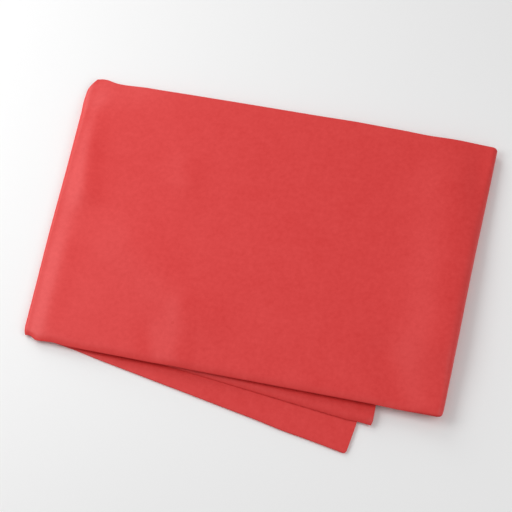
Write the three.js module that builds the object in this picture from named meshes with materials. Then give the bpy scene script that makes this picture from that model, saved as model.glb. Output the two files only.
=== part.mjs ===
// A folded length of plain red non-woven cloth, lying flat.
//
// The cloth is doubled across its width into a strip, with a closed soft fold along its near edge and
// open edges along its far side. The strip is then folded in half and in half again, a little askew, so
// that its four legs fan out at the near side. The strip runs from the lowest leg round the outer left
// fold to the top leg, round the right fold, back under the top leg, and round the inner left fold to
// the lower inner leg.
//
// Millimetres, +Z up, +X along the long side, -Y towards the near side. The origin is the middle of the
// footprint, on the surface that the cloth lies on.

import * as THREE from 'three';

// The doubled strip: its usual width, its whole thickness, the air between its two leaves, how far it
// thins down towards its near fold, how low the tip of that fold lies (1 would be half way up), how far
// the lower leaf stays back from the upper one along the open side, and how round the corners of its free
// ends are.
const STRIP_WIDTH = 280;
const STRIP_THICKNESS = 2.2;
const LEAF_GAP = 0.2;
const NEAR_FOLD_REACH = 7.0;
const TIP_DROP = 1.5;
const LEAF_STEP = 1.6;
const CORNER_RADIUS = 3.2;

// The legs lie on each other with a little air between them, less at the tight left folds than at the
// loose right one. The pitches are how far apart their middles are at the four corners of the cloth.
const LEG_PITCH = { nearLeft: 2.55, farLeft: 2.65, nearRight: 4.0, farRight: 3.4 };
const CORNERS = { left: -202, right: 202, near: -120, far: 165 };

// The strip's legs in the order in which it runs. left and right are the ends of each leg's outline, as
// [x, y] at its near edge and at its far edge, level counts the legs from the surface up, bow is how far
// the far edge swells beyond a straight line, and noseDrop is how far the near edge comes down on what
// lies under it, at its left end, in its middle and at its right end.
const LEGS = [
  {
    name: 'lowest leg', level: 0, runsRight: false, bow: 0, noseDrop: [0, 0, 0],
    left: { near: [-202.9, -108.7], far: [-202.9, 149.5] },
    right: { near: [117.8, -168.8], far: [153.0, 107.5] },
  },
  {
    name: 'top leg', level: 3, runsRight: true, bow: 1.2, noseDrop: [1.3, 1.0, 0.1],
    left: { near: [-202.9, -117.4], far: [-202.9, 163.6] },
    right: { near: [199.3, -118.9], far: [202.2, 169.4] },
  },
  {
    name: 'upper inner leg', level: 2, runsRight: false, bow: 0, noseDrop: [1.1, 0.8, 0.1],
    left: { near: [-187.0, -115.2], far: [-184.0, 157.2] },
    right: { near: [199.3, -118.0], far: [202.2, 166.1] },
  },
  {
    name: 'lower inner leg', level: 1, runsRight: true, bow: 0, noseDrop: [0.3, 0.7, 1.2],
    left: { near: [-187.0, -102.9], far: [-184.0, 153.5] },
    right: { near: [136.2, -138.2], far: [132.9, 135.5] },
  },
];
const NOSE_REACH = 4.0;

// The folds between one leg and the next. Three numbers are the values at the near end, in the middle
// and at the far end of the fold. bulge is how far the turned cloth stands out from where the legs end.
// liftBefore and liftAfter are how far the leg before the fold and the leg after it rise there, and the
// fades are how far from the fold those lifts reach. tuck is how far the fold's near and far ends are
// drawn in, and nearInset how far the legs' near edges draw in beside it.
const FOLDS = [
  {
    name: 'outer left fold', bulge: [2.6, 2.8, 7.0], tuck: [0.6, 6.5], nearInset: 2.8,
    liftBefore: [0.0, 0.0, 0.0], fadeBefore: 12, liftAfter: [-2.4, -2.4, -1.4], fadeAfter: 7,
  },
  {
    name: 'right fold', bulge: [4.2, 8.0, 3.2], tuck: [0.8, 0.8], nearInset: 0,
    liftBefore: [0.4, 1.2, -3.4], fadeBefore: 30, liftAfter: [-1.2, -4.0, -5.0], fadeAfter: 36,
  },
  {
    name: 'inner left fold', bulge: [1.2, 1.4, 2.0], tuck: [0.0, 2.0], nearInset: 0,
    liftBefore: [-0.1, -0.1, 0.3], fadeBefore: 14, liftAfter: [-0.1, -0.1, -0.1], fadeAfter: 12,
  },
];
const INSET_FADE = 5.5;

// Soft ridges and troughs of the top face, from one place to another, with how far each one spreads and
// how high it stands. The legs underneath follow it, less the lower they lie and the greater its reach is.
const CREASES = [
  { name: 'left crest, far', from: [-198, 126], to: [-193, 98], spread: 15, height: 3.2, reach: 1.5 },
  { name: 'left crest, middle', from: [-189, 72], to: [-180, 44], spread: 15, height: 2.4, reach: 1.5 },
  { name: 'left crest, near', from: [-187, -20], to: [-188, -92], spread: 13, height: 0.8, reach: 1.5 },
  { name: 'far left corner', from: [-204, 162], to: [-166, 176], spread: 26, height: -3.0, reach: 1.0 },
  { name: 'far edge', from: [-130, 175], to: [130, 179], spread: 18, height: -0.9, reach: 1.0 },
  { name: 'right crest', from: [166, 118], to: [180, -44], spread: 29, height: 3.8, reach: 1.0 },
  { name: 'right crest, near', from: [182, -66], to: [188, -112], spread: 18, height: 0.5, reach: 1.0 },
  { name: 'sag before the right fold', from: [136, -66], to: [160, -118], spread: 18, height: -2.2, reach: 1.0 },
  { name: 'sag at the far right corner', from: [190, 146], to: [204, 74], spread: 12, height: -1.3, reach: 1.0 },
  { name: 'slant across the left half', from: [-120, -4], to: [-46, -64], spread: 25, height: 1.8, reach: 1.3 },
];

// Places where the outline is pulled aside: where, how far the pull spreads each way, how far it moves the
// cloth, and the lowest and the highest leg that it moves.
const PULLS = [
  { name: 'horn of the far left corner', at: [-188, 164], spread: [10, 9], move: [0, 3.4], levels: [2, 3] },
  { name: 'far end of the left fold', at: [-203, 151], spread: [8, 9], move: [-3.0, 2.4], levels: [0, 3] },
  { name: 'near edge beside the left fold', at: [-175, -118], spread: [12, 10], move: [0, 1.2], levels: [2, 3] },
  { name: 'near end of the left fold', at: [-196, -116], spread: [5, 8], move: [0, 2.8], levels: [0, 3] },
  { name: 'middle of the left fold', at: [-202, 0], spread: [12, 50], move: [-0.6, 0], levels: [0, 3] },
  { name: 'middle of the right fold', at: [200, 35], spread: [12, 60], move: [-0.9, 0], levels: [0, 3] },
  { name: 'far edge, where the lower legs end', at: [136, 168], spread: [20, 12], move: [0, -0.9], levels: [2, 3] },
  { name: 'far edge, left', at: [-148, 163], spread: [14, 12], move: [0, 0.6], levels: [2, 3] },
];

// How finely the surface is cut: distances from a fold and from a free end along a leg and from the near
// fold across the strip, and the number of steps along the rest of a leg, round a fold, across the rest of
// the strip and round its near fold.
const STEPS_BESIDE_FOLD = [0, 5, 11, 18, 26, 36, 50, 70, 100];
const STEPS_AT_FREE_END = [0, 0.8, 3.2];
const STEPS_BESIDE_NEAR_FOLD = [0, 7];
const MIDDLE_STEPS = 9;
const FOLD_STEPS = 9;
const ACROSS_STEPS = 8;
const NEAR_FOLD_STEPS = 7;
const GAP_END_STEPS = 3;

const CLOTH_RED = 0xd5484a;

const TOP_LEVEL = LEGS.length - 1;

// The share of a fold's pull that reaches the middle of a cubic curve through it.
const CURVE_SHARE = 0.75;

const lerp = (a, b, t) => a + (b - a) * t;
const lerpPoint = (a, b, t) => [lerp(a[0], b[0], t), lerp(a[1], b[1], t)];
const fading = (distance, reach) => Math.exp(-((distance / reach) ** 2));

// A smooth value through a first, a middle and a last one, with w from 0 to 1.
function alongFold([first, middle, last], w) {
  return first * (1 - w) * (1 - 2 * w) + middle * 4 * w * (1 - w) + last * w * (2 * w - 1);
}

// How far an outline draws in at a rounded corner, at a distance from the free end.
function cornerInset(distance) {
  const along = THREE.MathUtils.clamp(CORNER_RADIUS - distance, 0, CORNER_RADIUS);
  return CORNER_RADIUS - Math.sqrt(CORNER_RADIUS ** 2 - along ** 2);
}

// How far apart the legs' middles are at a place.
function legPitch(x, y) {
  const u = THREE.MathUtils.clamp((x - CORNERS.left) / (CORNERS.right - CORNERS.left), 0, 1);
  const v = THREE.MathUtils.clamp((y - CORNERS.near) / (CORNERS.far - CORNERS.near), 0, 1);
  const { nearLeft, farLeft, nearRight, farRight } = LEG_PITCH;
  return lerp(lerp(nearLeft, nearRight, u), lerp(farLeft, farRight, u), v);
}

// The share of a leg's outline that the turn of a fold takes up, so that the fold ends on the outline.
function foldDepth(fold, w) {
  return fold ? alongFold(fold.bulge, w) + STRIP_THICKNESS / 2 : 0;
}

// A leg's outline from where the strip enters it to where the strip leaves it.
function legOutline({ left, right, runsRight }) {
  const [from, to] = runsRight ? [left, right] : [right, left];
  return { from, to, length: Math.hypot(to.near[0] - from.near[0], to.near[1] - from.near[1]) };
}

// Moves a point of a leg aside as the table of pulls says.
function pullAside(point, level) {
  const { x, y } = point;
  PULLS.forEach(({ at, spread, move, levels }) => {
    if (level < levels[0] || level > levels[1]) return;
    const bell = fading(x - at[0], spread[0]) * fading(y - at[1], spread[1]);
    point.x += move[0] * bell;
    point.y += move[1] * bell;
  });
  return point;
}

// Moves a point of the surface up or down by the creases.
function crease(point) {
  const plan = new THREE.Vector3(point.x, point.y, 0);
  const top = TOP_LEVEL * legPitch(plan.x, plan.y) + STRIP_THICKNESS;
  const high = THREE.MathUtils.clamp(point.z / top, 0, 1.3);
  CREASES.forEach(({ from, to, spread, height, reach }) => {
    const line = new THREE.Line3(new THREE.Vector3(...from, 0), new THREE.Vector3(...to, 0));
    const away = line.closestPointToPoint(plan, true, new THREE.Vector3()).distanceTo(plan);
    point.z += height * fading(away, spread) * high ** reach;
  });
  return point;
}

// The middle of the strip on a leg, at a share of its run between its folds and at w across the strip.
function legPoint(index, share, w) {
  const leg = LEGS[index];
  const before = FOLDS[index - 1];
  const after = FOLDS[index];
  const { from, to, length } = legOutline(leg);
  const start = foldDepth(before, w);
  const end = length - foldDepth(after, w);
  const run = lerp(start, end, share);

  const nearEdge = lerpPoint(from.near, to.near, run / length);
  const farEdge = lerpPoint(from.far, to.far, run / length);
  farEdge[1] += leg.bow * Math.sin((Math.PI * run) / length);
  const width = farEdge[1] - nearEdge[1];
  let inset = 0;
  let farInset = 0;
  if (before) inset += before.nearInset * fading(run - start, INSET_FADE);
  else farInset += cornerInset(run);
  if (after) inset += after.nearInset * fading(end - run, INSET_FADE);
  else farInset += cornerInset(length - run);
  inset += farInset;
  const [x, y] = lerpPoint(nearEdge, farEdge, lerp(inset, width - farInset, w) / width);

  const fromLeft = leg.runsRight ? run / length : 1 - run / length;
  const drop = alongFold(leg.noseDrop, fromLeft) * fading(w * STRIP_WIDTH, NOSE_REACH);
  let z = STRIP_THICKNESS / 2 + leg.level * legPitch(x, y) - drop;
  if (before) z += alongFold(before.liftAfter, w) * fading(run - start, before.fadeAfter);
  if (after) z += alongFold(after.liftBefore, w) * fading(end - run, after.fadeBefore);
  return pullAside(new THREE.Vector3(x, y, z), leg.level);
}

// The middle of the strip in a fold, at t round its turn and at w across the strip. The curve leaves one
// leg and meets the next one in line with both.
function foldPoint(index, t, w) {
  const fold = FOLDS[index];
  const nearly = 0.001;
  const start = legPoint(index, 1, w);
  const end = legPoint(index + 1, 0, w);
  const pull = alongFold(fold.bulge, w) / CURVE_SHARE;
  const out = start.clone().sub(legPoint(index, 1 - nearly, w)).setLength(pull);
  const back = end.clone().sub(legPoint(index + 1, nearly, w)).setLength(pull);
  const drawnIn = lerp(fold.tuck[0], -fold.tuck[1], w) / CURVE_SHARE;
  out.y += drawnIn;
  back.y += drawnIn;
  return new THREE.CubicBezierCurve3(start, out.add(start), back.add(end), end).getPoint(t);
}

// The shares of a leg's run at which its surface is cut: close together beside its folds and corners.
function legShares(index) {
  const { length } = legOutline(LEGS[index]);
  const first = index === 0 ? STEPS_AT_FREE_END : STEPS_BESIDE_FOLD;
  const last = index === LEGS.length - 1 ? STEPS_AT_FREE_END : STEPS_BESIDE_FOLD;
  const begin = first.map((distance) => distance / length);
  const finish = last.map((distance) => 1 - distance / length).reverse();
  const middle = [];
  for (let i = 1; i < MIDDLE_STEPS; i += 1) middle.push(lerp(begin.at(-1), finish[0], i / MIDDLE_STEPS));
  return [...begin, ...middle, ...finish];
}

// The stations along the whole strip, each one a function that gives the strip's middle at w across it.
function stripStations() {
  const stations = [];
  LEGS.forEach((leg, index) => {
    legShares(index).forEach((share) => stations.push((w) => legPoint(index, share, w)));
    if (index === FOLDS.length) return;
    for (let i = 1; i < FOLD_STEPS; i += 1) stations.push((w) => foldPoint(index, i / FOLD_STEPS, w));
  });
  return stations;
}

// The doubled strip seen along its length, as one closed outline: the distance of each point from the
// near edge and its height above the strip's middle.
function stripOutline() {
  const skin = STRIP_THICKNESS / 2;
  const gap = LEAF_GAP / 2;
  const gapEnd = NEAR_FOLD_REACH / 2;
  const upperEdge = STRIP_WIDTH;
  const lowerEdge = STRIP_WIDTH - LEAF_STEP;
  const outline = [];
  // One face of a leaf, from its open edge to the near fold or, backwards, from there to its open edge.
  const leaf = (openEdge, nearEnd, height, backwards = false) => {
    const places = STEPS_BESIDE_NEAR_FOLD.map((distance) => nearEnd + distance);
    const last = places.at(-1);
    for (let i = 1; i <= ACROSS_STEPS; i += 1) places.push(lerp(last, openEdge, i / ACROSS_STEPS));
    if (!backwards) places.reverse();
    places.forEach((across) => outline.push({ across, height }));
  };
  const turn = (centre, reach, from, to, steps, drop) => {
    for (let i = 1; i < steps; i += 1) {
      const angle = (Math.PI * i) / steps;
      const share = (1 + Math.cos(angle) * Math.sign(from - to)) / 2;
      const height = lerp(Math.min(from, to), Math.max(from, to), share ** drop);
      outline.push({ across: centre - reach * Math.sin(angle), height });
    }
  };
  leaf(upperEdge, NEAR_FOLD_REACH, skin);
  turn(NEAR_FOLD_REACH, NEAR_FOLD_REACH, skin, -skin, NEAR_FOLD_STEPS, TIP_DROP);
  leaf(lowerEdge, NEAR_FOLD_REACH, -skin, true);
  leaf(lowerEdge, gapEnd, -gap);
  turn(gapEnd, gap, -gap, gap, GAP_END_STEPS, 1);
  leaf(upperEdge, gapEnd, gap, true);
  return outline;
}

// The closed skin of the folded cloth: the strip's outline carried from station to station, set off from
// the strip's middle along its normal, with a cap on each free end.
function clothGeometry() {
  const stations = stripStations();
  const outline = stripOutline();
  const count = outline.length;
  const positions = [];
  const indices = [];

  const aside = 0.01;
  stations.forEach((station, row) => {
    const next = stations[Math.min(row + 1, stations.length - 1)];
    const previous = stations[Math.max(row - 1, 0)];
    outline.forEach(({ across, height }) => {
      const w = across / STRIP_WIDTH;
      const along = next(w).sub(previous(w));
      const sideways = station(Math.min(w + aside, 1)).sub(station(Math.max(w - aside, 0)));
      const normal = along.cross(sideways).normalize();
      positions.push(...crease(station(w).addScaledVector(normal, height)));
    });
  });

  // Each four-sided patch is cut along the same diagonal on every skin, so that the gaps stay even.
  for (let row = 0; row + 1 < stations.length; row += 1) {
    for (let i = 0; i < count; i += 1) {
      const j = (i + 1) % count;
      const [a, b] = [row * count + i, row * count + j];
      const [d, c] = [a + count, b + count];
      if (outline[i].across > outline[j].across) indices.push(a, b, c, a, c, d);
      else indices.push(a, b, d, b, c, d);
    }
  }

  // Both free ends face right, and each one is closed as its own outline lies.
  [0, (stations.length - 1) * count].forEach((first) => {
    const end = outline.map((_, i) => {
      const [, y, z] = positions.slice(3 * (first + i), 3 * (first + i + 1));
      return new THREE.Vector2(y, z);
    });
    THREE.ShapeUtils.triangulateShape(end, []).forEach((corners) => {
      indices.push(...corners.map((corner) => first + corner));
    });
  });

  const geometry = new THREE.BufferGeometry();
  geometry.setAttribute('position', new THREE.Float32BufferAttribute(positions, 3));
  geometry.setIndex(indices);
  geometry.computeVertexNormals();
  return geometry;
}

const cloth = new THREE.Mesh(
  clothGeometry(),
  new THREE.MeshStandardMaterial({ color: CLOTH_RED, roughness: 0.85, metalness: 0 }),
);
cloth.name = 'folded_cloth';

const group = new THREE.Group();
group.add(cloth);

export default group;
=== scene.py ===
"""A folded length of plain red non-woven cloth: its looks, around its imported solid.

The cloth is one sheet. It is doubled twice across its width into a strip of four plies, and the strip is
folded in half and in half again along its length, a little askew, so that its four legs fan out at the
near side. Tables are in millimetres, as the solid's own sizes are, and meshes are in metres.
"""

import math
from typing import NamedTuple

import bpy
import numpy as np
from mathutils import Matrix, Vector
from mathutils.geometry import tessellate_polygon


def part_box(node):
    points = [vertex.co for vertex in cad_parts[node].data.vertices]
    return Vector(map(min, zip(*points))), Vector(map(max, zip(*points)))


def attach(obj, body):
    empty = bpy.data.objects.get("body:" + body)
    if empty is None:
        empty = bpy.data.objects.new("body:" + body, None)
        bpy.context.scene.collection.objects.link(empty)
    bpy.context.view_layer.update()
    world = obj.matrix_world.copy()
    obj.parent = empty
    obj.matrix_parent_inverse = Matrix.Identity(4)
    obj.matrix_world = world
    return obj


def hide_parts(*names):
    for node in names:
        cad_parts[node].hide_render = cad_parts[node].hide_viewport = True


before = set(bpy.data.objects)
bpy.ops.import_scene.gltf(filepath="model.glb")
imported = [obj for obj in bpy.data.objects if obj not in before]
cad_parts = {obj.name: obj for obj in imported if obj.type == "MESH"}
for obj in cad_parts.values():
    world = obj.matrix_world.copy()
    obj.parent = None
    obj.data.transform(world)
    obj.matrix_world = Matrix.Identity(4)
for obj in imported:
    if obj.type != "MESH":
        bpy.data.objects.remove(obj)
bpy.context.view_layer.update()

bl_info = {
    "name": "Folded Cloth",
    "version": (1, 0, 0),
    "blender": (4, 5, 0),
    "location": "3D View > Sidebar > Cloth",
    "description": "Makes a folded length of non-woven cloth with its creases and finish",
    "category": "Add Mesh",
}

MM = 0.001
NODE = "folded_cloth"
UV_NAME = "cut"


class Leg(NamedTuple):
    """A straight run of the strip. Its corners are [x, y] at its near edge and at its far edge.

    bow is how far the middle of its far edge bows out. nose_drop is how far its near edge comes down on what
    lies under it, at its left, middle and right.
    """

    name: str
    level: int
    runs_right: bool
    bow: float
    nose_drop: tuple
    left_near: tuple
    left_far: tuple
    right_near: tuple
    right_far: tuple
    step: float


class Fold(NamedTuple):
    """A turn of the strip. Three numbers are the values at its near end, its middle and its far end.

    bulge is how far it curves out, tuck is how far its near and its far end are drawn in, and near_inset is
    how far the legs' near edges draw in beside it. It lifts the leg before it and the leg after it, or presses
    them down, and that fades along them.
    """

    name: str
    x: float
    bulge: tuple
    tuck: tuple
    near_inset: float
    lift_before: tuple
    fade_before: float
    lift_after: tuple
    fade_after: float


class Crease(NamedTuple):
    """A soft ridge or trough from start to end, as [x, y], with its height at the top of the pack.

    Further down it is lower: in proportion where fade is 1, and more where fade is more.
    """

    name: str
    start: tuple
    end: tuple
    spread: float
    height: float
    fade: float


class Pull(NamedTuple):
    """A place where the outline is pulled aside, as [x, y], with how far it spreads and moves each way."""

    name: str
    place: tuple
    spread: tuple
    move: tuple
    levels: tuple


# The cloth is thinner at its tight left folds than at its loose right one. Four numbers are the values at
# its near left, far left, near right and far right: how thick the strip's four plies are together, and
# how far apart the legs' middles are. The plies' section is drawn at one thickness and scaled to these.
LEFT, RIGHT, NEAR, FAR = -202.0, 202.0, -120.0, 165.0
THICKNESS = (1.8, 2.0, 2.6, 2.4)
LEG_PITCH = (2.0, 2.4, 4.0, 3.4)
FULL_THICKNESS = 2.4

# The strip's legs in the order in which it runs. step is how finely each one is cut along its length.
LEGS = [
    Leg("lowest leg", 0, False, 0.0, (0.0, 0.0, 0.0),
        (-202.9, -108.7), (-202.9, 149.5), (117.8, -168.8), (153.0, 107.5), 9.0),
    Leg("top leg", 3, True, 1.2, (1.3, 1.0, 0.1),
        (-202.9, -117.4), (-202.9, 163.6), (199.3, -118.9), (202.2, 169.4), 4.5),
    Leg("upper inner leg", 2, False, 0.0, (1.1, 0.8, 0.1),
        (-187.0, -115.2), (-184.0, 157.2), (199.3, -118.0), (202.2, 166.1), 14.0),
    Leg("lower inner leg", 1, True, 0.0, (0.3, 0.7, 1.2),
        (-187.0, -102.9), (-184.0, 153.5), (136.2, -138.2), (132.9, 135.5), 8.0),
]
FOLDS = [
    Fold("outer left fold", LEFT, (2.6, 2.8, 7.0), (0.6, 6.5), 2.8,
         (0.0, 0.0, 0.0), 12.0, (-2.6, -2.6, -1.4), 11.0),
    Fold("right fold", RIGHT, (4.2, 8.0, 3.2), (0.8, 0.8), 0.0,
         (0.4, 1.2, -3.4), 30.0, (-1.2, -4.0, -5.0), 36.0),
    Fold("inner left fold", LEFT, (1.2, 1.4, 2.0), (0.0, 2.0), 0.0,
         (-0.15, -0.15, 0.4), 14.0, (-0.1, -0.1, -0.1), 12.0),
]

STRIP_WIDTH = 280.0
CORNER_RADIUS = 3.2

# How far from a near edge its drop reaches, and how far from a fold the inset of its near end reaches.
NOSE_REACH = 4.0
INSET_FADE = 5.5

# A fold's curve comes this share of the way to the two places that pull it out.
CURVE_SHARE = 0.75

# How far the plies' own turns reach out of the strip: at its far side, at its near edge and inside that.
FAR_TURN_REACH = 1.3
NEAR_TURN_REACH = 7.0
INNER_TURN_REACH = 2.6

# A near edge's tip lies low: 1 would be half way up, and more is lower.
TIP_DROP = 1.5

# How finely the surface is cut along the strip: beside a fold, beside a free end and round a fold.
FOLD_STEP = 2.2
FOLD_REACH = 24.0
END_STEP = 0.7
END_REACH = 5.0
FOLD_STEPS = 16

# How finely it is cut across the strip: on an outer face, on a hidden one, behind a near edge and round it.
OUTER_STEP = 5.0
INNER_STEP = 20.0
NOSE_STRETCH = 16.0
NOSE_STEPS = 5
TURN_STEPS = 10

# An edge of the mesh that bends by more degrees than this is shaded as a sharp one.
SHARP_ANGLE = 60.0

# What stands above the pack's level top is taken to be at most this many times as high as the top.
HIGHEST_SHARE = 1.3

CREASES = [
    Crease("crest of the left fold, far", (-198, 126), (-193, 98), 15.0, 3.2, 1.5),
    Crease("crest of the left fold, middle", (-189, 72), (-180, 44), 15.0, 2.4, 1.5),
    Crease("crest of the left fold, near", (-187, -20), (-188, -92), 13.0, 0.8, 1.5),
    Crease("far left corner", (-204, 162), (-166, 176), 26.0, -3.0, 1.0),
    Crease("far edge", (-130, 175), (130, 179), 18.0, -0.9, 1.0),
    Crease("crest of the right fold", (166, 118), (180, -44), 29.0, 3.8, 1.0),
    Crease("crest of the right fold, near", (182, -66), (188, -112), 18.0, 0.5, 1.0),
    Crease("sag before the right fold, near", (136, -66), (160, -118), 18.0, -2.2, 1.0),
    Crease("sag at the far right corner", (190, 146), (204, 74), 12.0, -1.3, 1.0),
    Crease("pucker at the near edge, ridge", (-62, -56), (-54, -114), 11.0, 1.0, 1.3),
    Crease("pucker at the near edge, trough", (-88, -88), (-80, -114), 9.0, -0.8, 1.3),
    Crease("slant across the left half", (-120, -4), (-46, -64), 25.0, 1.8, 1.3),
    Crease("blister, far left", (-88, 86), (-84, 76), 15.0, 1.2, 1.3),
]

PULLS = [
    Pull("horn of the far left corner", (-188, 164), (10, 9), (0.0, 3.4), (2, 3)),
    Pull("far end of the left fold", (-203, 151), (8, 9), (-3.0, 2.4), (0, 3)),
    Pull("near edge beside the left fold", (-175, -118), (12, 10), (0.0, 1.2), (2, 3)),
    Pull("near end of the left fold", (-196, -116), (5, 8), (0.0, 2.8), (0, 3)),
    Pull("middle of the left fold", (-202, 0), (12, 50), (-0.6, 0.0), (0, 3)),
    Pull("middle of the right fold", (200, 35), (12, 60), (-0.9, 0.0), (0, 3)),
    Pull("second leg before its end", (125, -137), (6, 7), (0.0, 1.8), (1, 1)),
    Pull("lowest leg beside its end", (121, -145), (6, 9), (-0.6, 0.0), (0, 0)),
    Pull("lowest leg's near edge, middle", (55, -158), (18, 10), (0.0, -0.7), (0, 0)),
    Pull("lowest leg's near edge, left", (-150, -119), (12, 10), (0.0, 0.5), (0, 0)),
    Pull("far edge, where the lower legs end", (136, 168), (20, 12), (0.0, -0.9), (2, 3)),
    Pull("far edge, middle", (60, 167), (24, 12), (0.0, 0.5), (2, 3)),
    Pull("far edge, left", (-148, 163), (14, 12), (0.0, 0.6), (2, 3)),
]

# The cloudy density of the fibres, and their fine relief: each layer's lumps, in width, and its weight.
MOTTLES = ((34.0, 0.5), (11.0, 0.6), (4.2, 1.0), (1.7, 0.5))
RELIEF = ((1.2, 1.0), (3.0, 0.6))
RELIEF_HEIGHT = 0.12
RELIEF_STRENGTH = 0.2
NOISE_DETAIL = 2.0
SHEEN_ROUGHNESS = 0.5

# A small dark speck in the top face: its place, [x, y], its radius and how deep its red is.
SPECK = (-66.2, -76.0)
SPECK_RADIUS = 1.9
SPECK_DEPTH = 1.6

# The soft lights: their name, their place in metres and their share of the stage's light. Each one's side is
# in proportion to how far away it is.
LAMPS = [
    ("left_light", (-0.75, 0.0, 0.75), 0.88),
    ("low_back_light", (-0.95, 1.14, 0.69), 0.74),
    ("right_fill", (0.8, -0.2, 0.85), 0.46),
]
LAMP_SIDE = 0.6

# The floor is a square in metres, a little under the cloth.
FLOOR_HALF_SIDE = 6.0
FLOOR_DROP = 0.2 * MM
FLOOR_ROUGHNESS = 0.7

# The cloth's creases may stand this far out of its solid's box before something is wrong.
MOST_PROUD = 8.0 * MM


def lerp(a, b, t):
    """The value at share t of the way from a to b."""
    return a + (b - a) * t


def fading(distance, reach):
    """A bell that is 1 at no distance and nearly 0 at twice the reach."""
    return np.exp(-((distance / reach) ** 2))


def along_fold(values, w):
    """A smooth value through a first, a middle and a last one, with w from 0 to 1."""
    first, middle, last = values
    return first * (1 - w) * (1 - 2 * w) + middle * 4 * w * (1 - w) + last * w * (2 * w - 1)


def corner_inset(distance):
    """How far an outline draws in at a rounded corner, at a distance from the free end."""
    along = np.clip(CORNER_RADIUS - distance, 0, CORNER_RADIUS)
    return CORNER_RADIUS - np.sqrt(CORNER_RADIUS**2 - along**2)


def between_corners(corners, x, y):
    """The value at a place, from the values at the cloth's four corners."""
    near_left, far_left, near_right, far_right = corners
    u = np.clip((x - LEFT) / (RIGHT - LEFT), 0, 1)
    v = np.clip((y - NEAR) / (FAR - NEAR), 0, 1)
    return lerp(lerp(near_left, near_right, u), lerp(far_left, far_right, u), v)


def pull_aside(x, y, level):
    """Moves places of a leg as the table of pulls says."""
    moved_x, moved_y = x, y
    for pull in PULLS:
        lowest, highest = pull.levels
        if lowest <= level <= highest:
            bell = fading(x - pull.place[0], pull.spread[0]) * fading(y - pull.place[1], pull.spread[1])
            moved_x = moved_x + pull.move[0] * bell
            moved_y = moved_y + pull.move[1] * bell
    return moved_x, moved_y


def fold_depth(fold, w):
    """How much of a leg's outline the turn of a fold takes up."""
    if fold is None:
        return np.zeros_like(w)
    return along_fold(fold.bulge, w) + between_corners(THICKNESS, fold.x, lerp(NEAR, FAR, w)) / 2


def leg_ends(index):
    """A leg's corners where the strip enters it and where it leaves it, as near and far points."""
    leg = LEGS[index]
    left = (np.array(leg.left_near), np.array(leg.left_far))
    right = (np.array(leg.right_near), np.array(leg.right_far))
    return (left, right) if leg.runs_right else (right, left)


def leg_length(index):
    """The length of a leg's near edge."""
    start, end = leg_ends(index)
    return float(np.hypot(*(end[0] - start[0])))


def leg_points(index, share, w):
    """The middle of the strip on a leg, for a column of shares along it and a row of shares across it."""
    leg = LEGS[index]
    before = FOLDS[index - 1] if index > 0 else None
    after = FOLDS[index] if index < len(FOLDS) else None
    length = leg_length(index)
    (from_near, from_far), (to_near, to_far) = leg_ends(index)
    start = fold_depth(before, w)
    end = length - fold_depth(after, w)
    run = lerp(start, end, share)
    t = run / length

    near_x, near_y = (lerp(from_near[i], to_near[i], t) for i in (0, 1))
    far_x, far_y = (lerp(from_far[i], to_far[i], t) for i in (0, 1))
    far_y = far_y + leg.bow * np.sin(math.pi * t)
    width = far_y - near_y
    near_inset = np.zeros_like(run)
    far_inset = np.zeros_like(run)
    for fold, distance in ((before, run - start), (after, end - run)):
        if fold is None:
            far_inset += corner_inset(distance)
        else:
            near_inset += fold.near_inset * fading(distance, INSET_FADE)
    across = lerp(near_inset + far_inset, width - far_inset, w) / width

    x, y = lerp(near_x, far_x, across), lerp(near_y, far_y, across)
    z = between_corners(THICKNESS, x, y) / 2 + leg.level * between_corners(LEG_PITCH, x, y)
    from_left = t if leg.runs_right else 1 - t
    z -= along_fold(leg.nose_drop, from_left) * fading(w * STRIP_WIDTH, NOSE_REACH)
    x, y = pull_aside(x, y, leg.level)
    if before is not None:
        z += along_fold(before.lift_after, w) * fading(run - start, before.fade_after)
    if after is not None:
        z += along_fold(after.lift_before, w) * fading(end - run, after.fade_before)
    return np.stack([x, y, z], axis=-1)


def fold_points(index, t, w):
    """The middle of the strip in a fold, which leaves one leg and meets the next one in line with both."""
    fold = FOLDS[index]
    nearly = 0.001
    start = leg_points(index, np.array([[1.0]]), w)
    end = leg_points(index + 1, np.array([[0.0]]), w)
    out = start - leg_points(index, np.array([[1.0 - nearly]]), w)
    back = end - leg_points(index + 1, np.array([[nearly]]), w)
    pull = (along_fold(fold.bulge, w) / CURVE_SHARE)[None, :, None]
    out *= pull / np.linalg.norm(out, axis=-1, keepdims=True)
    back *= pull / np.linalg.norm(back, axis=-1, keepdims=True)
    drawn_in = lerp(fold.tuck[0], -fold.tuck[1], w) / CURVE_SHARE
    out[..., 1] += drawn_in
    back[..., 1] += drawn_in
    t = t[:, None, None]
    return (
        start * (1 - t) ** 3
        + (start + out) * 3 * t * (1 - t) ** 2
        + (end + back) * 3 * t**2 * (1 - t)
        + end * t**3
    )


def graded_shares(length, step, fold_first, fold_last):
    """Shares along a leg, close together beside its folds and free ends and step apart between them."""
    places = [0.0]
    while places[-1] < length:
        next_step = step
        for folded, distance in ((fold_first, places[-1]), (fold_last, length - places[-1])):
            finest, reach = (FOLD_STEP, FOLD_REACH) if folded else (END_STEP, END_REACH)
            next_step = min(next_step, lerp(step, finest, float(fading(distance, reach))))
        places.append(places[-1] + next_step)
    return np.array(places) / places[-1]


def strip_middle(w):
    """The strip's middle surface, a row of points for each station along the strip."""
    rows = []
    for index, leg in enumerate(LEGS):
        last = index == len(FOLDS)
        shares = graded_shares(leg_length(index), leg.step, index > 0, not last)
        rows.append(leg_points(index, shares[:, None], w))
        if not last:
            rows.append(fold_points(index, np.arange(1, FOLD_STEPS) / FOLD_STEPS, w))
    return np.concatenate(rows)


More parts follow.
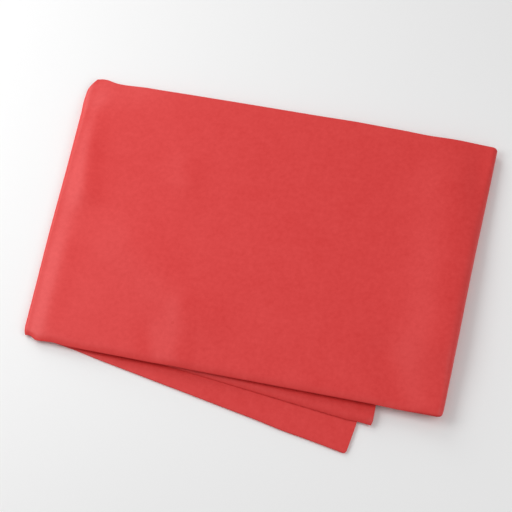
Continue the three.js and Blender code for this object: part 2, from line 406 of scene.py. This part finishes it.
def strip_normals(w):
    """The strip's normals at the same places, out of the side that is up on the top leg."""
    aside = 0.004
    middle = strip_middle(w)
    along = np.gradient(middle, axis=0)
    sideways = strip_middle(np.minimum(w + aside, 1)) - strip_middle(np.maximum(w - aside, 0))
    normals = np.cross(along, sideways)
    return normals / np.linalg.norm(normals, axis=-1, keepdims=True)


class Section:
    """The four plies seen along the strip, as one closed outline.

    Each point has its distance from the near edge, its height above the strip's middle, and its place
    across the cloth when the cloth is laid out flat.
    """

    def __init__(self, ply_thickness, edge_steps):
        self.points = []
        skin = ply_thickness / 2
        pitch = (FULL_THICKNESS - ply_thickness) / 3
        upper, inner_upper, inner_lower, lower = (pitch * k for k in (1.5, 0.5, -0.5, -1.5))
        ends = [STRIP_WIDTH - step for step in edge_steps]

        # One face of the cloth, from the free edge of the upper ply to the free edge of the one under it.
        self.ply(0, ends[0], NEAR_TURN_REACH, upper + skin, OUTER_STEP)
        self.turn(1, NEAR_TURN_REACH, -NEAR_TURN_REACH, upper + skin, lower - skin, TIP_DROP)
        self.ply(1, NEAR_TURN_REACH, ends[1], lower - skin, OUTER_STEP)
        self.turn(2, ends[1], FAR_TURN_REACH, lower - skin, inner_lower + skin)
        self.ply(2, ends[2], NEAR_TURN_REACH, inner_lower + skin, INNER_STEP)
        self.turn(3, NEAR_TURN_REACH, -INNER_TURN_REACH + 2 * skin, inner_lower + skin, inner_upper - skin)
        self.ply(3, NEAR_TURN_REACH, ends[3], inner_upper - skin, INNER_STEP)

        # The other face, back again.
        self.ply(3, ends[3], NEAR_TURN_REACH, inner_upper + skin, INNER_STEP)
        self.turn(3, NEAR_TURN_REACH, -INNER_TURN_REACH, inner_upper + skin, inner_lower - skin)
        self.ply(2, NEAR_TURN_REACH, ends[2], inner_lower - skin, INNER_STEP)
        self.turn(2, ends[2], FAR_TURN_REACH - 2 * skin, inner_lower - skin, lower + skin)
        self.ply(1, ends[1], NEAR_TURN_REACH, lower + skin, INNER_STEP)
        self.turn(1, NEAR_TURN_REACH, -NEAR_TURN_REACH + 2 * skin, lower + skin, upper - skin, TIP_DROP)
        self.ply(0, NEAR_TURN_REACH, ends[0], upper - skin, INNER_STEP)

    def ply(self, number, start, end, height, step):
        """Adds one face of a ply. Plies are numbered from the cloth's edge in the upper ply."""
        nearest, farthest = min(start, end), max(start, end)
        beside_nose = np.linspace(nearest, nearest + NOSE_STRETCH, NOSE_STEPS + 1)
        steps = max(2, round((farthest - beside_nose[-1]) / step))
        places = np.concatenate([beside_nose, np.linspace(beside_nose[-1], farthest, steps + 1)[1:]])
        for distance in places if end > start else places[::-1]:
            flat = STRIP_WIDTH - distance if number % 2 == 0 else distance
            self.points.append((distance, height, number * STRIP_WIDTH + flat))

    def turn(self, number, centre, reach, start, end, drop=1.0):
        """Adds the inside of a half turn from one height to another, without its two ends."""
        first = self.points[-1][2]
        for i in range(1, TURN_STEPS):
            angle = math.pi * i / TURN_STEPS
            distance = centre + reach * math.sin(angle)
            share = (1 + math.cos(angle) * (1 if start > end else -1)) / 2
            height = lerp(min(start, end), max(start, end), share**drop)
            flat = lerp(first, 2 * number * STRIP_WIDTH - first, i / TURN_STEPS)
            self.points.append((distance, height, flat))

    @property
    def distance(self):
        return np.array([point[0] for point in self.points])

    @property
    def height(self):
        return np.array([point[1] for point in self.points])

    @property
    def flat(self):
        return np.array([point[2] for point in self.points])


def from_segment(x, y, start, end):
    """The distance in plan of points from a straight line between two places."""
    start, end = np.array(start, float), np.array(end, float)
    span = end - start
    share = np.clip(((x - start[0]) * span[0] + (y - start[1]) * span[1]) / (span @ span), 0, 1)
    return np.hypot(x - start[0] - share * span[0], y - start[1] - share * span[1])


def crease(points, depth):
    """Moves points up or down by the creases, less the nearer they are to the surface below."""
    x, y, z = points[..., 0], points[..., 1], points[..., 2]
    top = 3 * between_corners(LEG_PITCH, x, y) + between_corners(THICKNESS, x, y)
    high = np.clip(z / top, 0, HIGHEST_SHARE)
    for ridge in CREASES:
        bell = fading(from_segment(x, y, ridge.start, ridge.end), ridge.spread)
        points[..., 2] = points[..., 2] + depth * ridge.height * bell * high**ridge.fade


def cloth_points(section, depth):
    """The cloth's points, a row for each station along the strip and a column for each section point."""
    w = section.distance / STRIP_WIDTH
    points = strip_middle(w)
    thickness = between_corners(THICKNESS, points[..., 0], points[..., 1])
    points += strip_normals(w) * (section.height * thickness / FULL_THICKNESS)[..., None]
    crease(points, depth)
    return points


def cloth_faces(rows, columns, section):
    """Four-sided faces between stations, and triangles that close the strip's two free ends."""
    faces = []
    last = (rows - 1) * columns
    for here in range(0, last, columns):
        after = here + columns
        for i in range(columns):
            j = (i + 1) % columns
            faces.append((here + i, here + j, after + j, after + i))
    outline = [Vector((distance, height, 0)) for distance, height, _ in section.points]
    for a, b, c in tessellate_polygon([outline]):
        faces.append((a, c, b))
        faces.append((last + a, last + b, last + c))
    return faces


def add_flat_map(mesh, points, section):
    """Gives the cloth a UV map in metres, as it lies when it is laid out flat."""
    middle = points.mean(axis=1)
    steps = np.linalg.norm(np.diff(middle, axis=0), axis=-1)
    along = np.concatenate([[0.0], np.cumsum(steps)])
    flat = np.stack(np.broadcast_arrays(along[:, None], section.flat[None, :]), axis=-1).reshape(-1, 2) * MM
    corners = np.empty(len(mesh.loops), dtype=np.int32)
    mesh.loops.foreach_get("vertex_index", corners)
    layer = mesh.uv_layers.new(name=UV_NAME)
    layer.uv.foreach_set("vector", flat[corners].astype(np.float32).ravel())


def make_cloth(settings):
    """Makes the cloth's object, a closed mesh at its place in the frame."""
    section = Section(settings.ply_thickness / MM, settings.edge_steps)
    points = cloth_points(section, settings.crease_depth)
    rows, columns = points.shape[:2]
    mesh = bpy.data.meshes.new("cloth_sheet")
    mesh.from_pydata((points.reshape(-1, 3) * MM).tolist(), [], cloth_faces(rows, columns, section))
    mesh.update()
    add_flat_map(mesh, points, section)
    mesh.shade_smooth()
    mesh.set_sharp_from_angle(angle=math.radians(SHARP_ANGLE))
    cloth = bpy.data.objects.new("cloth_sheet", mesh)
    bpy.context.scene.collection.objects.link(cloth)
    return cloth


class Value:
    """A shader socket that can stand in an expression. Each operator adds its Math node."""

    def __init__(self, graph, socket):
        self.graph = graph
        self.socket = socket

    def math(self, operation, *terms):
        return self.graph.node("ShaderNodeMath", {"operation": operation}, dict(enumerate(terms)))

    def __add__(self, other):
        return self.math("ADD", self, other)

    def __radd__(self, other):
        return self.math("ADD", other, self)

    def __sub__(self, other):
        return self.math("SUBTRACT", self, other)

    def __rsub__(self, other):
        return self.math("SUBTRACT", other, self)

    def __mul__(self, other):
        return self.math("MULTIPLY", self, other)

    def __rmul__(self, other):
        return self.math("MULTIPLY", other, self)

    def at_least(self, lowest):
        return self.math("MAXIMUM", self, lowest)


class Graph:
    """A material's node tree, built one node at a time."""

    def __init__(self, material):
        material.use_nodes = True
        self.tree = material.node_tree
        self.tree.nodes.clear()

    def node(self, kind, settings=None, inputs=None, output=0):
        """Adds a node, sets its settings and then its sockets, and returns one of its outputs."""
        node = self.tree.nodes.new(kind)
        for name, value in (settings or {}).items():
            setattr(node, name, value)
        for name, value in (inputs or {}).items():
            if isinstance(value, Value):
                self.tree.links.new(value.socket, node.inputs[name])
            else:
                node.inputs[name].default_value = value
        return Value(self, node.outputs[output]) if len(node.outputs) else None

    def mix(self, share, first, second):
        """A colour between two others, the second one where share is 1."""
        terms = {"Factor": share, 6: (*first, 1.0), 7: (*second, 1.0)}
        return self.node("ShaderNodeMix", {"data_type": "RGBA"}, terms, output=2)


def cloth_material(finish):
    """Plain non-woven: laid fibres with cloudy density, paler where they lie closer."""
    material = bpy.data.materials.new("red_non_woven")
    graph = Graph(material)
    cut = graph.node("ShaderNodeUVMap", {"uv_map": UV_NAME})

    def clouds(layers):
        """Cloudy values about 0, from layers that each have the width of their lumps and a weight."""
        total = 0.0
        for size, weight in layers:
            terms = {"Vector": cut, "Scale": 1 / (size * MM), "Detail": NOISE_DETAIL}
            total = total + (graph.node("ShaderNodeTexNoise", {}, terms) - 0.5) * weight
        return total

    place = graph.node("ShaderNodeTexCoord", output="Object")
    plan = graph.node("ShaderNodeVectorMath", {"operation": "MULTIPLY"}, {0: place, 1: (1, 1, 0)})
    centre = (SPECK[0] * MM, SPECK[1] * MM, 0)
    terms = {0: plan, 1: centre}
    away = graph.node("ShaderNodeVectorMath", {"operation": "DISTANCE"}, terms, output="Value")
    speck =(1.0 - away * (1 / (SPECK_RADIUS * MM))).at_least(0.0) * SPECK_DEPTH
    colour = graph.mix(0.5 + clouds(MOTTLES) - speck, finish.deep, finish.pale)
    terms = {"Strength": RELIEF_STRENGTH, "Distance": RELIEF_HEIGHT * MM, "Height": clouds(RELIEF)}
    bump = graph.node("ShaderNodeBump", {}, terms)
    shader = graph.node(
        "ShaderNodeBsdfPrincipled",
        {},
        {
            "Base Color": colour,
            "Roughness": finish.roughness,
            "Specular IOR Level": finish.shine,
            "Sheen Weight": finish.sheen,
            "Sheen Roughness": SHEEN_ROUGHNESS,
            "Normal": bump,
        },
    )
    graph.node("ShaderNodeOutputMaterial", {}, {"Surface": shader})
    return material


def plain_material(name, colour, roughness):
    """A plain, even finish for the floor."""
    material = bpy.data.materials.new(name)
    graph = Graph(material)
    shader = graph.node(
        "ShaderNodeBsdfPrincipled", {}, {"Base Color": (*colour, 1.0), "Roughness": roughness}
    )
    graph.node("ShaderNodeOutputMaterial", {}, {"Surface": shader})
    return material


def add_lamp(name, place, strength):
    """Adds a soft square light that faces the cloth and gives it the same light from any distance."""
    away = Vector(place).length
    light = bpy.data.lights.new(name, "AREA")
    light.shape = "SQUARE"
    light.size = LAMP_SIDE * away
    light.energy = strength * away**2
    lamp = bpy.data.objects.new(name, light)
    lamp.location = place
    lamp.rotation_euler = (-Vector(place)).to_track_quat("-Z", "Y").to_euler()
    bpy.context.scene.collection.objects.link(lamp)


class ClothSettings(bpy.types.PropertyGroup):
    """The cloth's thickness and how deep its creases are."""

    ply_thickness: bpy.props.FloatProperty(
        name="Ply thickness",
        description="Thickness of one ply of the cloth",
        default=0.45 * MM,
        min=0.2 * MM,
        max=0.7 * MM,
        unit="LENGTH",
    )
    crease_depth: bpy.props.FloatProperty(
        name="Crease depth",
        description="How deep the creases are, against how they lie in the real cloth",
        default=1.0,
        min=0.0,
        max=2.0,
        subtype="FACTOR",
    )
    edge_steps: bpy.props.FloatVectorProperty(
        name="Edge steps",
        description="How far the far end of each ply stays back in mm, in the plies' order across the cloth",
        size=4,
        default=(0.0, 1.4, 1.8, 0.7),
        min=0.0,
        max=6.0,
    )


class FinishSettings(bpy.types.PropertyGroup):
    """The cloth's colour and how it takes the light."""

    deep: bpy.props.FloatVectorProperty(
        name="Deep red",
        description="Colour of the cloth where its fibres are sparse",
        subtype="COLOR",
        size=3,
        default=(0.69, 0.018, 0.016),
        min=0.0,
        max=1.0,
    )
    pale: bpy.props.FloatVectorProperty(
        name="Pale red",
        description="Colour of the cloth where its fibres lie close",
        subtype="COLOR",
        size=3,
        default=(0.77, 0.043, 0.04),
        min=0.0,
        max=1.0,
    )
    roughness: bpy.props.FloatProperty(
        name="Roughness",
        description="How matt the cloth is",
        default=0.5,
        min=0.0,
        max=1.0,
        subtype="FACTOR",
    )
    shine: bpy.props.FloatProperty(
        name="Shine",
        description="How much light the fibres mirror",
        default=0.6,
        min=0.0,
        max=1.0,
        subtype="FACTOR",
    )
    sheen: bpy.props.FloatProperty(
        name="Sheen",
        description="Soft light on the fibres' tips",
        default=0.1,
        min=0.0,
        max=1.0,
        subtype="FACTOR",
    )


class StageSettings(bpy.types.PropertyGroup):
    """The camera's place, the light and the floor."""

    azimuth: bpy.props.FloatProperty(
        name="Azimuth",
        description="Direction of the camera round the cloth",
        default=math.radians(11.75),
        subtype="ANGLE",
    )
    elevation: bpy.props.FloatProperty(
        name="Elevation",
        description="Height of the camera above the horizon",
        default=math.radians(65.0),
        subtype="ANGLE",
    )
    distance: bpy.props.FloatProperty(
        name="Distance",
        description="Distance of the camera from the middle of the cloth",
        default=2.8,
        unit="LENGTH",
    )
    lens: bpy.props.FloatProperty(
        name="Lens",
        description="Focal length of the camera in millimetres",
        default=206.7,
    )
    target: bpy.props.FloatVectorProperty(
        name="Target",
        description="The place that the camera looks at",
        size=3,
        default=(-4.0 * MM, 9.9 * MM, 7.0 * MM),
        unit="LENGTH",
    )
    floor_colour: bpy.props.FloatVectorProperty(
        name="Floor colour",
        description="Colour of the floor",
        subtype="COLOR",
        size=3,
        default=(0.93, 0.93, 0.93),
        min=0.0,
        max=1.0,
    )
    lamp_power: bpy.props.FloatProperty(
        name="Lamps",
        description="Strength of the soft lights round the cloth",
        default=4.8,
        min=0.0,
    )
    sky: bpy.props.FloatProperty(
        name="Sky",
        description="Strength of the even light from all sides",
        default=0.36,
        min=0.0,
    )


class CLOTH_OT_fold(bpy.types.Operator):
    """Make the folded cloth, with its creases and its finish"""

    bl_idname = "cloth.fold"
    bl_label = "Fold the cloth"

    def execute(self, context):
        scene = context.scene
        cloth = make_cloth(scene.cloth_settings)
        cloth.data.materials.append(cloth_material(scene.cloth_finish))
        lowest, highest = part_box(NODE)
        corners = np.array([vertex.co for vertex in cloth.data.vertices])
        proud = max(*(np.array(lowest) - corners.min(axis=0)), *(corners.max(axis=0) - np.array(highest)))
        if proud > MOST_PROUD:
            raise RuntimeError(f"the cloth stands {proud / MM:.1f} mm proud of its solid")
        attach(cloth, "root")
        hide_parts(NODE)
        return {"FINISHED"}


class CLOTH_OT_stage(bpy.types.Operator):
    """Make the floor, the light and the camera"""

    bl_idname = "cloth.stage"
    bl_label = "Set the stage"

    def execute(self, context):
        scene = context.scene
        stage = scene.cloth_stage
        self.add_camera(scene, stage)
        self.add_floor(scene, stage)
        for name, place, share in LAMPS:
            add_lamp(name, place, share * stage.lamp_power)
        world = bpy.data.worlds.new("room")
        world.use_nodes = True
        world.node_tree.nodes["Background"].inputs["Color"].default_value = (1, 1, 1, 1)
        world.node_tree.nodes["Background"].inputs["Strength"].default_value = stage.sky
        scene.world = world
        scene.view_settings.view_transform = "Standard"
        return {"FINISHED"}

    @staticmethod
    def add_camera(scene, stage):
        camera = bpy.data.objects.new("camera", bpy.data.cameras.new("camera"))
        back = Vector(
            (
                math.sin(stage.azimuth) * math.cos(stage.elevation),
                -math.cos(stage.azimuth) * math.cos(stage.elevation),
                math.sin(stage.elevation),
            )
        )
        camera.location = Vector(stage.target) + back * stage.distance
        camera.rotation_euler = (-back).to_track_quat("-Z", "Y").to_euler()
        camera.data.lens = stage.lens
        scene.collection.objects.link(camera)
        scene.camera = camera

    @staticmethod
    def add_floor(scene, stage):
        half = FLOOR_HALF_SIDE
        mesh = bpy.data.meshes.new("floor")
        corners = [(-half, -half, 0), (half, -half, 0), (half, half, 0), (-half, half, 0)]
        mesh.from_pydata(corners, [], [(0, 1, 2, 3)])
        floor = bpy.data.objects.new("floor", mesh)
        floor.location.z = -FLOOR_DROP
        floor.data.materials.append(plain_material("pale_floor", stage.floor_colour, FLOOR_ROUGHNESS))
        scene.collection.objects.link(floor)


class CLOTH_PT_panel(bpy.types.Panel):
    """The folded cloth's sizes, finish and stage"""

    bl_idname = "CLOTH_PT_panel"
    bl_label = "Folded cloth"
    bl_space_type = "VIEW_3D"
    bl_region_type = "UI"
    bl_category = "Cloth"

    def draw(self, context):
        groups = {
            CLOTH_OT_fold: (context.scene.cloth_settings, context.scene.cloth_finish),
            CLOTH_OT_stage: (context.scene.cloth_stage,),
        }
        for operator, settings in groups.items():
            box = self.layout.box()
            for group in settings:
                for name in group.__annotations__:
                    box.prop(group, name)
            box.operator(operator.bl_idname)


CLASSES = (ClothSettings, FinishSettings, StageSettings, CLOTH_OT_fold, CLOTH_OT_stage, CLOTH_PT_panel)


def register():
    for cls in CLASSES:
        bpy.utils.register_class(cls)
    bpy.types.Scene.cloth_settings = bpy.props.PointerProperty(type=ClothSettings)
    bpy.types.Scene.cloth_finish = bpy.props.PointerProperty(type=FinishSettings)
    bpy.types.Scene.cloth_stage = bpy.props.PointerProperty(type=StageSettings)


def unregister():
    del bpy.types.Scene.cloth_stage
    del bpy.types.Scene.cloth_finish
    del bpy.types.Scene.cloth_settings
    for cls in reversed(CLASSES):
        bpy.utils.unregister_class(cls)


def main():
    register()
    bpy.ops.cloth.fold()
    bpy.ops.cloth.stage()


if __name__ == "__main__":
    main()
